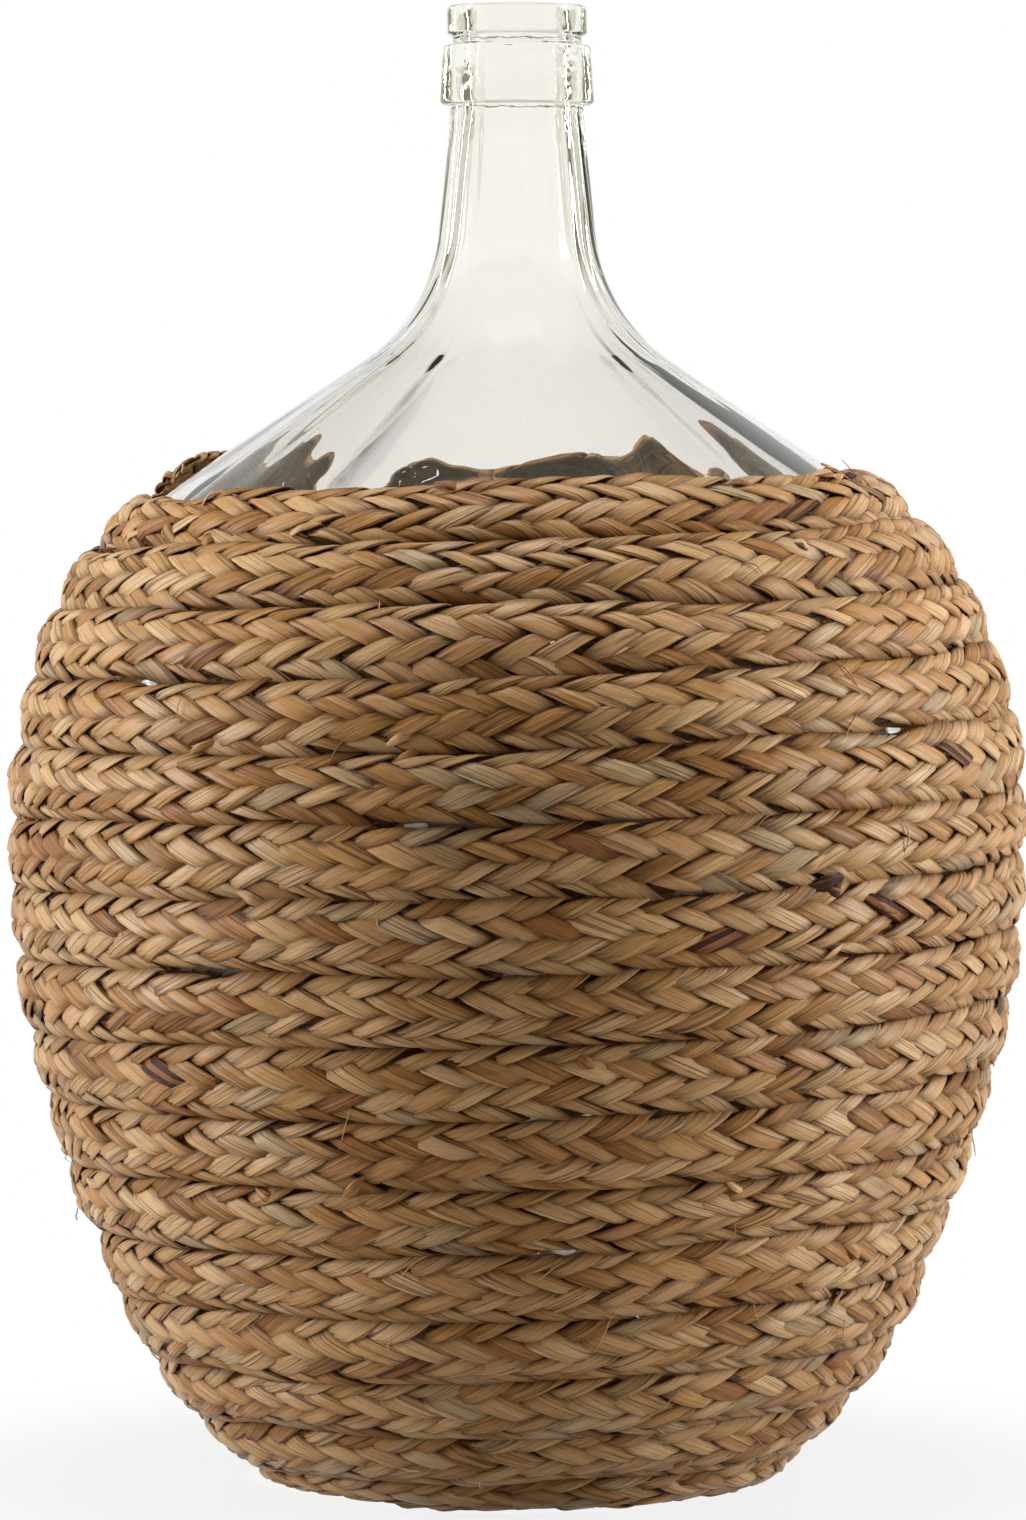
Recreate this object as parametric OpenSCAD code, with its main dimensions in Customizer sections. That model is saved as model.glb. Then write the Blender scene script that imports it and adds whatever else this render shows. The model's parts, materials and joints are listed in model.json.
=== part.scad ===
// Round-bellied glass bottle wound from heel to shoulder with a flat plaited cord.
// Origin at the middle of the standing ring, +Z up through the mouth, millimetres.

/* [Bottle] */
// Height from the standing ring to the lip
bottle_h = 558; // [545:1:575]
// Greatest radius of the glass, at the belly
belly_r = 185.4; // [180:0.2:192]
// Thickness of the belly and shoulder
body_wall = 4.5; // [3.5:0.1:6]
// Thickness of the base
base_wall = 6; // [5:0.1:8]
// Width of the flat ring that the bottle stands on
ring_w = 8; // [5:0.5:12]
// Rise of the pushed-up middle of the base
push_up_h = 17; // [10:1:25]

/* [Curves of the side, as shares of the height] */
// Radius of the curve that rolls from the standing ring into the lower side
heel_share = 0.1022; // [0.095:0.0001:0.108]
// Radius of the curve above it
flank_share = 0.3584; // [0.34:0.0001:0.37]
// Length of the straight stretch of the lower side
straight_share = 0.057; // [0.04:0.0001:0.07]
// Radius of the side below the belly
lower_share = 0.6631; // [0.63:0.0001:0.68]
// Radius of the side above the belly
upper_share = 0.4122; // [0.38:0.0001:0.44]
// Radius of the round shoulder
shoulder_share = 0.2419; // [0.23:0.0001:0.255]
// Radius of the hollow curve where the shoulder turns up into the neck
throat_share = 0.1177; // [0.105:0.0001:0.13]

/* [Neck and mouth] */
// Outer radius of the neck just under the collar
neck_r = 25.2; // [24:0.1:26.5]
// Radius of the mouth
bore_r = 18; // [16.5:0.1:19]
// Height of the straight mouth, down to the underside of the collar
bore_h = 40; // [38:0.5:43]
// Radius of the collar at its foot
collar_r = 29.3; // [28:0.1:31]
// Height of the collar
collar_h = 22; // [20:0.1:23]
// Radius in the groove between collar and lip
groove_r = 24.4; // [23:0.1:25.5]
// Height of the groove at its floor
groove_h = 1.6; // [1:0.1:2]
// Radius of the lip
lip_r = 26.4; // [25.6:0.1:28]
// Height of the straight side of the lip
lip_h = 10.5; // [9:0.1:11]
// Rounding of the lip and the collar
edge_r = 2.2; // [1:0.1:2.4]

/* [Plaited cord] */
// Width of the plait
plait_w = 25.3; // [22:0.1:27]
// Space between one turn and the next
turn_gap = 0.85; // [0.6:0.05:1.5]
// Distance from the glass to the plait's outer face
plait_out = 7.5; // [6.5:0.1:9]
// Space between the plait and the glass
seat_gap = 0.3; // [0.2:0.05:0.6]
// Distance along the glass from the standing ring to the plait's lowest edge
first_edge = 27.5; // [26:0.5:32]
// Distance along the glass from the standing ring to where the first turn would begin at full width
first_seam = 13; // [11:0.5:16]
// Distance along the glass from the standing ring to the plait's top end, as a share of the height
wound_share = 0.8153; // [0.7:0.0001:0.83]
// Direction of the winding's lower end, counter-clockwise from +X
start_angle = 195; // [0:15:345]

/* [Glue] */
// Length of a dab of glue
dab_len = 12; // [8:1:16]
// Width of a dab where it sits on the glass
dab_w = 4.6; // [3:0.1:5]
// Width of a dab at its crest
dab_crest_w = 1.4; // [1:0.1:1.8]
// Height of a dab above the glass
dab_h = 2; // [1.5:0.1:2.2]
// Space between a dab and the glass
dab_gap = 0.3; // [0.2:0.05:0.5]

/* [Hidden] */

// The side is a chain of legs, each an arc or a straight line. Its direction is
// an angle: 0 runs outwards along the floor, 90 straight up and 180 inwards.
heel_angle = 45;
flank_angle = 70;
belly_angle = 90;
crown_angle = 104;
slope_angle = 146.5;
neck_angle = 95.5;
arc_step_angle = 3;

// The curves keep their share of the height
heel_r = heel_share * bottle_h;
flank_r = flank_share * bottle_h;
straight_len = straight_share * bottle_h;
lower_r = lower_share * bottle_h;
upper_r = upper_share * bottle_h;
shoulder_r = shoulder_share * bottle_h;
throat_r = throat_share * bottle_h;

// Radial and upward travel along an arc between two directions
function arc_x(r, a0, a1) = r * (sin(a1) - sin(a0));
function arc_z(r, a0, a1) = r * (cos(a0) - cos(a1));
function arc_len(r, a0, a1) = r * (a1 - a0) * PI / 180;

// Outer edge of the standing ring, which follows from the belly
ring_r = belly_r - arc_x(heel_r, 0, heel_angle) - arc_x(flank_r, heel_angle, flank_angle)
    - straight_len * cos(flank_angle) - arc_x(lower_r, flank_angle, belly_angle);

// Where the shoulder arc ends and its straight slope begins
belly_z = arc_z(heel_r, 0, heel_angle) + arc_z(flank_r, heel_angle, flank_angle)
    + straight_len * sin(flank_angle) + arc_z(lower_r, flank_angle, belly_angle);
slope_x = belly_r + arc_x(upper_r, belly_angle, crown_angle) + arc_x(shoulder_r, crown_angle, slope_angle);
slope_z = belly_z + arc_z(upper_r, belly_angle, crown_angle) + arc_z(shoulder_r, crown_angle, slope_angle);

// The slope and the neck are two lines that the throat arc joins
neck_top_z = bottle_h - bore_h;
turn_angle = slope_angle - neck_angle;
throat_cut = throat_r * tan(turn_angle / 2);
apart_x = slope_x - neck_r;
apart_z = neck_top_z - slope_z;
slope_to_corner = (apart_x * sin(neck_angle) + apart_z * cos(neck_angle)) / sin(turn_angle);
corner_to_neck = (apart_z * -cos(slope_angle) - apart_x * sin(slope_angle)) / sin(turn_angle);
slope_len = slope_to_corner - throat_cut;
neck_len = corner_to_neck - throat_cut;

// Each leg is [radius, first direction, last direction, length], where the
// radius is 0 on a straight leg and below 0 where the side curves the other way.
// A fifth value is the thickness of the wall at its end. Between two such ends
// the wall changes evenly: thick at the base, thin on the body, thicker in the neck.
neck_wall = (neck_r - bore_r) / sin(neck_angle);
legs = [
    [heel_r, 0, heel_angle, arc_len(heel_r, 0, heel_angle), body_wall],
    [flank_r, heel_angle, flank_angle, arc_len(flank_r, heel_angle, flank_angle)],
    [0, flank_angle, flank_angle, straight_len],
    [lower_r, flank_angle, belly_angle, arc_len(lower_r, flank_angle, belly_angle)],
    [upper_r, belly_angle, crown_angle, arc_len(upper_r, belly_angle, crown_angle)],
    [shoulder_r, crown_angle, slope_angle, arc_len(shoulder_r, crown_angle, slope_angle), body_wall],
    [0, slope_angle, slope_angle, slope_len],
    [-throat_r, slope_angle, neck_angle, arc_len(-throat_r, slope_angle, neck_angle), neck_wall],
    [0, neck_angle, neck_angle, neck_len]
];

// Direction, and place as [radius, height], at a distance along one leg
function leg_a(g, d) = g[0] == 0 ? g[1] : g[1] + d / g[0] * 180 / PI;
function leg_move(g, d) = g[0] == 0
    ? d * [cos(g[1]), sin(g[1])]
    : [arc_x(g[0], g[1], leg_a(g, d)), arc_z(g[0], g[1], leg_a(g, d))];
leg_from = [for (i = 0, p = [ring_r, 0]; i < len(legs);
    p = p + leg_move(legs[i], legs[i][3]), i = i + 1) p];
leg_dist = [for (i = 0, d = 0; i < len(legs); d = d + legs[i][3], i = i + 1) d];
function leg_end(i) = leg_dist[i] + legs[i][3];

// Leg that holds a distance along the side, and the point there, set out from
// the glass by off, below 0 for inwards
function leg_of(d, i = len(legs) - 1) = i == 0 || d >= leg_dist[i] ? i : leg_of(d, i - 1);
function side_in_leg(i, d, off) =
    let (a = leg_a(legs[i], d - leg_dist[i]))
    leg_from[i] + leg_move(legs[i], d - leg_dist[i]) + off * [sin(a), -cos(a)];
function side(d, off = 0) = side_in_leg(leg_of(d), d, off);

// Distances along the side at which the outline has its points
leg_steps = [for (g = legs) max(1, ceil(abs(g[2] - g[1]) / arc_step_angle))];
stations = concat(
    [for (i = [0:len(legs) - 1]) for (j = [0:leg_steps[i] - 1])
        leg_dist[i] + legs[i][3] * j / leg_steps[i]],
    [leg_end(len(legs) - 1)]
);

walls = concat([[0, base_wall]],
    [for (i = [0:len(legs) - 1]) if (len(legs[i]) > 4) [leg_end(i), legs[i][4]]]);
function wall(d) = lookup(d, walls);

// A corner rounded to radius r, as points of an arc between its two edges
corner_steps = 5;
function unit(v) = v / norm(v);
function corner(p0, p, p1, r) =
    let (u = unit(p0 - p), v = unit(p1 - p), half = acos(u * v) / 2,
        reach = r / tan(half), centre = p + unit(u + v) * r / sin(half),
        from = p + u * reach - centre, to = p + v * reach - centre,
        sweep = acos(from * to / (r * r)), side_of = from.x * to.y - from.y * to.x > 0 ? 1 : -1)
    [for (i = [0:corner_steps]) let (a = side_of * sweep * i / corner_steps)
        centre + [from.x * cos(a) - from.y * sin(a), from.x * sin(a) + from.y * cos(a)]];
function rounded(pts) = [for (i = [1:len(pts) - 2])
    each pts[i][2] == 0 ? [[pts[i].x, pts[i].y]]
        : corner([pts[i - 1].x, pts[i - 1].y], [pts[i].x, pts[i].y],
            [pts[i + 1].x, pts[i + 1].y], pts[i][2])];

// Collar, groove and lip, from the neck up and round into the mouth, each
// corner with its rounding
collar_top_share = 0.95;
collar_foot_share = 0.12;
groove_side_share = 0.5;
collar_z = neck_top_z + collar_foot_share * collar_h;
groove_z = collar_z + collar_h;
groove_slope_h = groove_side_share * edge_r;
lip_z = bottle_h - lip_h;
finish = rounded([
    [neck_r, neck_top_z - collar_h, 0],
    [neck_r, collar_z, groove_slope_h],
    [collar_r, collar_z, edge_r],
    [collar_r * collar_top_share, groove_z, groove_slope_h],
    [groove_r, groove_z + groove_slope_h, groove_side_share * groove_h],
    [groove_r, lip_z - groove_slope_h, groove_side_share * groove_h],
    [lip_r, lip_z, groove_slope_h],
    [lip_r, bottle_h, edge_r],
    [bore_r, bottle_h, groove_slope_h],
    [bore_r, neck_top_z, 0]
]);

// The pushed-up base is a cap of a sphere inside the standing ring
cap_steps = 12;
cap_base_r = ring_r - ring_w;
function cap(rise, lift) =
    let (r = (cap_base_r * cap_base_r + rise * rise) / (2 * rise), open_a = asin(cap_base_r / r))
    [for (i = [0:cap_steps]) let (a = open_a * i / cap_steps)
        [r * sin(a), lift + rise - r * (1 - cos(a))]];
function backwards(list) = [for (i = [len(list) - 1:-1:0]) list[i]];

module glass_bottle() {
    outside = [for (d = stations) side(d)];
    inside = [for (d = stations) side(d, -wall(d))];
    color([0.84, 0.89, 0.86, 0.6])
        rotate_extrude($fn = 180)
            polygon(concat(
                cap(push_up_h, 0), outside, finish, [[bore_r, neck_top_z]],
                backwards(inside), backwards(cap(push_up_h, base_wall))
            ));
}

// The winding climbs one pitch a turn along the side. Its edges are distances
// along the side, and at the foot the first turn narrows to nothing lower.
ring_steps = 24;
step_a = 360 / ring_steps;
pitch = plait_w + turn_gap;
wound_turns = (wound_share * bottle_h + turn_gap / 2 - first_seam) / pitch - 1;
last_ring = round(wound_turns * ring_steps);
function seam(turns) = first_seam + pitch * turns;
function low_edge(i) = max(seam(i / ring_steps) + turn_gap / 2, first_edge);
function high_edge(i) = seam(i / ring_steps + 1) - turn_gap / 2;

// Section of the plait: a flat inner face and a crowned outer one, which falls
// away to thin edges. The first and last rings are drawn in to a blunt end.
edge_share = 0.14;
crown_share = 0.26;
end_share = 0.55;
function fullness(i) = i == 0 || i == last_ring ? end_share : 1;
// Flat faces between rings and across the width stand this far off the glass
function hollow(low, high, r) =
    norm(side((low + high) / 2) - (side(low) + side(high)) / 2) + r * (1 - cos(step_a / 2));
function section(i) =
    let (mid = (low_edge(i) + high_edge(i)) / 2,
        half = fullness(i) * (high_edge(i) - low_edge(i)) / 2,
        flat = half * (1 - 2 * edge_share),
        crown = half * (1 - 2 * crown_share),
        inner = seat_gap + hollow(mid - flat, mid + flat, side(mid).x),
        outer = inner + fullness(i) * (plait_out - inner),
        edge = (inner + outer) / 2)
    [
        side(mid - half, edge), side(mid - flat, inner), side(mid + flat, inner),
        side(mid + half, edge), side(mid + crown, outer), side(mid - crown, outer)
    ];
function ring(i) = let (a = start_angle + step_a * i)
    [for (p = section(i)) [p.x * cos(a), p.x * sin(a), p.y]];
rings = [for (i = [0:last_ring]) ring(i)];
sides = 6;

// Least distance between points of one turn and points of the next
least_gap = min([for (i = [0:last_ring - ring_steps]) for (j = [-1:1])
    let (k = i + ring_steps + j) if (k <= last_ring)
        for (p = rings[i]) for (q = rings[k]) norm(p - q)]);
echo(str("least gap of the winding to itself, mm: ", least_gap));

module plaited_cord() {
    // Two triangles to each face, and a fan over each end
    walls_of = [for (i = [0:last_ring - 1]) for (j = [0:sides - 1])
        let (a = i * sides + j, b = i * sides + (j + 1) % sides)
            each [[a, b, a + sides], [b, b + sides, a + sides]]];
    last = last_ring * sides;
    foot_end = [for (j = [1:sides - 2]) [0, j + 1, j]];
    top_end = [for (j = [1:sides - 2]) [last, last + j, last + j + 1]];
    color([0.66, 0.49, 0.31])
        polyhedron(points = [for (r = rings) each r], faces = concat(walls_of, foot_end, top_end));
}

// Dabs of glue on the glass under the seams, each [seam, direction from +X].
// The far side has the same, one seam higher.
dabs = [
    [2, 274], [5, 276], [6, 287], [6, 301], [7, 271], [7, 278],
    [11, 246], [11, 259], [12, 318], [13, 222], [13, 313]
];

module glue_dab(seam_no, a) {
    d = seam(seam_no + (a - start_angle) / 360);
    span_a = dab_len / side(d).x * 180 / PI;
    rotate([0, 0, a - span_a / 2])
        rotate_extrude(angle = span_a, $fn = 180)
            polygon([
                side(d - dab_w / 2, dab_gap), side(d - dab_crest_w / 2, dab_h),
                side(d + dab_crest_w / 2, dab_h), side(d + dab_w / 2, dab_gap)
            ]);
}

module glue_dabs() {
    color([0.9, 0.9, 0.86])
        for (p = dabs) {
            glue_dab(p[0], p[1]);
            glue_dab(p[0] + 1, p[1] + 180);
        }
}

glass_bottle();
plaited_cord();
glue_dabs();
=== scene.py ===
import json
import math

import bpy
import numpy as np
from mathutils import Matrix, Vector
from bpy.props import FloatProperty, FloatVectorProperty, IntProperty, PointerProperty

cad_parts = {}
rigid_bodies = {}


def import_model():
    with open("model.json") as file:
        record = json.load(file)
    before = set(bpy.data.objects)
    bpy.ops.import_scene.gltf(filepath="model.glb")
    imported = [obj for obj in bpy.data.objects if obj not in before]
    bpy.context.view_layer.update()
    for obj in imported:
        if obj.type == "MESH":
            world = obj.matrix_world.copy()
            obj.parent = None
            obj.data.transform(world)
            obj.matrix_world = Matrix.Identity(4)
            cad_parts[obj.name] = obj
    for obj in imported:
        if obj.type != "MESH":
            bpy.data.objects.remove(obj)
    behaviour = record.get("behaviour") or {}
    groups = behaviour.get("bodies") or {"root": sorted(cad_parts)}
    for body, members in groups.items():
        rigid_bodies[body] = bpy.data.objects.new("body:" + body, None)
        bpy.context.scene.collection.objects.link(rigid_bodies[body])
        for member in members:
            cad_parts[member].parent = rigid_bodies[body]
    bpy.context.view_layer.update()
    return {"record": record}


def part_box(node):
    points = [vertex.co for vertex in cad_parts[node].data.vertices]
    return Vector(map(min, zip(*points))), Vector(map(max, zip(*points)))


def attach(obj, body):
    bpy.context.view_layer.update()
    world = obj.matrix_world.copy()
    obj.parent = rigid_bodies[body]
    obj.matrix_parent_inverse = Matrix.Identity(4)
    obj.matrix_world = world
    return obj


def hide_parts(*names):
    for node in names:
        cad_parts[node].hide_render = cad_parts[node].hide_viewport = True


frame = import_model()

bl_info = {
    "name": "Plait-wrapped glass bottle",
    "version": (1, 0, 0),
    "blender": (4, 5, 0),
    "location": "View3D > Sidebar > Bottle",
    "description": "Models a round glass bottle wound with a flat plait of seagrass",
    "category": "Add Mesh",
}

GLASS_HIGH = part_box("glass_bottle")[1]
MOUTH = frame["record"]["mounts"][0]
BODY = "root"
TAU = 2 * math.pi


def length(name, text, default):
    return FloatProperty(name=name, description=text, default=default, unit="LENGTH", precision=5)


def share(name, text, default):
    return FloatProperty(name=name, description=text, default=default, min=0.0, precision=4)


def number(name, text, default):
    return FloatProperty(name=name, description=text, default=default, precision=3)


def count(name, text, default):
    return IntProperty(name=name, description=text, default=default, min=1)


def angle(name, text, degrees):
    return FloatProperty(name=name, description=text, default=math.radians(degrees), unit="ROTATION")


def colour(name, text, default):
    return FloatVectorProperty(
        name=name, description=text, default=default, subtype="COLOR", min=0.0, max=1.0)


class BottleSettings(bpy.types.PropertyGroup):
    """Sizes of the glass. The curves of its side are shares of its height."""
    height: length("Height", "From the standing ring to the lip", GLASS_HIGH.z)
    belly: length("Belly radius", "Greatest radius of the glass", GLASS_HIGH.x)
    body_wall: length("Body wall", "Thickness of the belly and shoulder", 0.0045)
    base_wall: length("Base wall", "Thickness of the base", 0.006)
    thickening: length("Thickening", "Extra thickness where the shoulder turns into the slope", 0.0003)
    ring: length("Standing ring", "Width of the flat ring underneath", 0.008)
    push_up: length("Push-up", "Rise of the middle of the base", 0.017)
    heel_share: share("Heel", "Radius of the heel's curve", 0.1022)
    flank_share: share("Flank", "Radius of the curve above the heel", 0.3584)
    straight_share: share("Straight", "Straight stretch of the lower side", 0.057)
    lower_share: share("Lower side", "Radius of the side below the belly", 0.6631)
    upper_share: share("Upper side", "Radius of the side above the belly", 0.4122)
    shoulder_share: share("Shoulder", "Radius of the round shoulder", 0.2419)
    throat_share: share("Throat", "Radius of the hollow curve under the neck", 0.1177)
    neck: length("Neck radius", "Outer radius just under the collar", 0.0252)
    bore: length("Mouth radius", "Radius of the mouth", MOUTH["dims"]["r_mm"] / 1000)
    bore_height: length("Mouth height", "Height of the straight mouth", 0.040)
    collar: length("Collar radius", "Radius of the collar at its foot", 0.0293)
    collar_height: length("Collar height", "Height of the collar", 0.022)
    groove: length("Groove radius", "Radius between collar and lip", 0.0244)
    groove_height: length("Groove height", "Height of the groove's floor", 0.0016)
    lip: length("Lip radius", "Radius of the lip", 0.0264)
    lip_height: length("Lip height", "Height of the lip's straight side", 0.0105)
    edge: length("Edge rounding", "Rounding of the lip and collar", 0.0022)
    wave: length("Waviness", "How far the inner surface of the glass wanders", 0.0020)
    ripple: length("Ripple", "Depth of the fine ripples in the glass", 0.0048)
    refraction: number("Refraction", "Refractive index of the glass", 1.40)
    tint: colour("Glass tint", "Colour of light through the glass's surfaces", (1.0, 0.984, 0.978))
    depth_tint: colour("Depth tint", "Colour that thick glass takes on", (0.72, 0.76, 0.36))
    depth_density: number("Depth density", "Absorption of that colour per metre", 8.0)


class PlaitSettings(bpy.types.PropertyGroup):
    """Sizes and colours of the plait and of the leaves that it is made of."""
    width: length("Plait width", "Across the plait", 0.0253)
    turn_gap: length("Turn gap", "Between one turn and the next", 0.00085)
    seat: length("Seat", "From the glass to the middle of the plait's thickness", 0.0056)
    camber: length("Camber", "How far the plait's edges curl towards the glass", 0.0030)
    curl_stray: length("Curl stray", "How much that curl varies along each edge", 0.0011)
    swell: length("Swell", "How far the whole plait rises and sinks along its length", 0.0010)
    spine_stray: length("Spine stray", "How far the line where the leaves meet wanders", 0.0016)
    flare: length("Flare", "How far a turn's upper edge stands out on the shoulder", 0.0019)
    first_edge: length("First edge", "Along the glass to the plait's lowest edge", 0.0275)
    first_seam: length("First seam", "Along the glass to where a full first turn would begin", 0.013)
    wound_share: share("Wound share", "Distance along the glass to the plait's top end", 0.8170)
    start_angle: angle("Start", "Direction of the lower end", 195)
    strands: count("Strands", "Strands in the plait", 7)
    period: length("Period", "Length of plait in which a strand crosses over and back", 0.116)
    leaf_width: length("Leaf width", "Width of one strand", 0.0076)
    leaf_thickness: length("Leaf thickness", "Thickness of one strand", 0.0013)
    pinch: share("Pinch", "How much narrower a strand is where others cover it", 0.16)
    fold_pinch: share("Fold pinch", "How much narrower a strand is where it folds", 0.04)
    lift: length("Lift", "How far a strand rises and dips where two cross", 0.00092)
    crease: length("Crease", "Depth of the folds that run along a leaf", 0.00056)
    shingle: length("Shingle", "Height of the lower edge of a leaf over the next leaf", 0.00042)
    tilt_stray: length("Tilt stray", "How much that height varies from leaf to leaf", 0.00050)
    arch: length("Arch", "Greatest bulge of a leaf between its edges", 0.00062)
    fold_stray: length("Fold stray", "How far a fold strays along the plait", 0.0024)
    fold_reach: length("Fold reach", "How far a fold may stand past the plait's edge", 0.0018)
    fold_round: length("Fold rounding", "How far a fold's left corner is tucked in", 0.0017)
    wander: length("Wander", "How far a seam strays from its line", 0.0021)
    opening: length("Opening", "Height of the gaps that show glass in a seam", 0.0021)
    seed: count("Seed", "Start of the random draws", 11)
    straw: colour("Straw", "Palest leaves", (0.575, 0.369, 0.179))
    tan: colour("Tan", "Most leaves", (0.42, 0.216, 0.068))
    brown: colour("Brown", "Darker leaves", (0.240, 0.102, 0.025))
    khaki: colour("Khaki", "Greenish-grey leaves", (0.37, 0.295, 0.175))
    russet: colour("Russet", "Reddish leaves", (0.27, 0.108, 0.036))
    vein: colour("Vein", "Shading along the fibres of a leaf", (0.36, 0.22, 0.11))
    # Dark is also the colour of the painted shade in the deep gaps and along the split lines of leaves.
    dark: colour("Dark", "Stained leaves and deep gaps", (0.034, 0.009, 0.0008))


class GlueSettings(bpy.types.PropertyGroup):
    """Sizes of the dabs of glue under the seams."""
    dab_length: length("Dab length", "Length of a dab", 0.009)
    dab_width: length("Dab width", "Width of a dab on the glass", 0.0028)
    dab_height: length("Dab height", "Height of a dab above the glass", 0.0019)
    dab_gap: length("Dab gap", "Between a dab and the glass", 0.0003)
    milk: colour("Glue", "Colour of the set glue", (0.70, 0.74, 0.75))
    cloud: colour("Cloud", "Colour of its cloudy parts", (0.93, 0.95, 0.96))


class StageSettings(bpy.types.PropertyGroup):
    """Camera, lamps and floor."""
    distance: length("Camera distance", "From the bottle's axis to the camera", 2.5)
    eye: length("Camera height", "Height of the camera", 0.398)
    aim: length("Aim height", "Height that the camera points at", 0.273)
    aside: length("Camera offset", "Sideways place of the camera", -0.0015)
    lens: number("Lens", "Focal length in millimetres for a 36 mm frame", 156.2)
    side_light: number("Side lamps", "Power of each side lamp in watts", 30.0)
    top_light: number("Top lamp", "Power of the lamp overhead in watts", 32.0)
    strip_light: number("Strip lamps", "Power in watts of each narrow lamp that glints in the glass", 2.5)
    world_light: number("Surrounding light", "Strength of the world on the object", 0.165)
    world_colour: colour("Surrounding colour", "Colour of that light", (1.0, 0.86, 0.70))
    ceiling: number("Ceiling", "Strength of the world overhead in reflections", 0.38)
    front: number("Front", "Strength of the world on the camera's side in reflections", 0.30)
    wings: number("Wings", "Strength of the world beside the backdrop, which glass shows dark", 0.20)
    shade: colour("Shade", "Colour of the dim parts of the world in reflections", (1.0, 0.96, 0.62))
    floor_size: length("Floor", "Width of the floor", 6.0)
    floor_colour: colour("Floor colour", "Colour of the floor", (0.52, 0.52, 0.51))


# Shared helpers

def select(*pieces):
    """Selects these pieces alone, with the first one active."""
    bpy.ops.object.select_all(action="DESELECT")
    for piece in pieces:
        piece.select_set(True)
    bpy.context.view_layer.objects.active = pieces[0]


def finish_piece(piece, slot, material, *nodes):
    """Gives a piece its material and body, and hides the solids that it stands for. The slot is not used.
    """
    piece.data.materials.clear()
    piece.data.materials.append(material)
    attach(piece, BODY)
    if nodes:
        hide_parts(*nodes)


def new_piece(name, points, faces):
    """A mesh object from an array of points and an array of four-cornered faces."""
    mesh = bpy.data.meshes.new(name)
    mesh.vertices.add(len(points))
    mesh.vertices.foreach_set("co", np.asarray(points, np.float32).ravel())
    mesh.loops.add(faces.size)
    mesh.loops.foreach_set("vertex_index", faces.astype(np.int32).ravel())
    mesh.polygons.add(len(faces))
    starts = np.arange(0, faces.size, faces.shape[1], dtype=np.int32)
    mesh.polygons.foreach_set("loop_start", starts)
    mesh.polygons.foreach_set("use_smooth", np.ones(len(faces), bool))
    mesh.update(calc_edges=True)
    mesh.validate()
    piece = bpy.data.objects.new(name, mesh)
    bpy.context.scene.collection.objects.link(piece)
    return piece


def corners_of(mesh):
    """The corners of a mesh, one to a row."""
    co = np.empty(len(mesh.vertices) * 3)
    mesh.vertices.foreach_get("co", co)
    return co.reshape(-1, 3)


def tube_faces(rings, sides):
    """Four-cornered faces of a closed tube, with fans of quads over its two ends."""
    i = np.arange(rings - 1)[:, None] * sides
    j = np.arange(sides)[None, :]
    k = (j + 1) % sides
    walls = np.stack([i + j, i + k, i + k + sides, i + j + sides], -1).reshape(-1, 4)
    last = (rings - 1) * sides
    ends = []
    for n in range(1, sides - 2, 2):
        ends.append([0, n + 2, n + 1, n])
        ends.append([last, last + n, last + n + 1, last + n + 2])
    return np.concatenate([walls, np.array(ends)])


def smooth(part):
    """Turns a straight rise from 0 to 1 into one that starts and ends gently."""
    return part * part * (3 - 2 * part)


def hump(x, middle, reach):
    """A rise to 1 at the middle, which has sunk to about a third at the reach."""
    return np.exp(-((x - middle) / reach) ** 2)


def wandering(rng, x, step):
    """A smooth random curve between -1 and 1 over x, with a new value at each step."""
    place = x / step
    first = np.floor(place).astype(int)
    base = first.min()
    knots = rng.uniform(-1, 1, first.max() - base + 2)
    part = smooth(place - first)
    return knots[first - base] * (1 - part) + knots[first - base + 1] * part


# Outline of the glass

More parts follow.
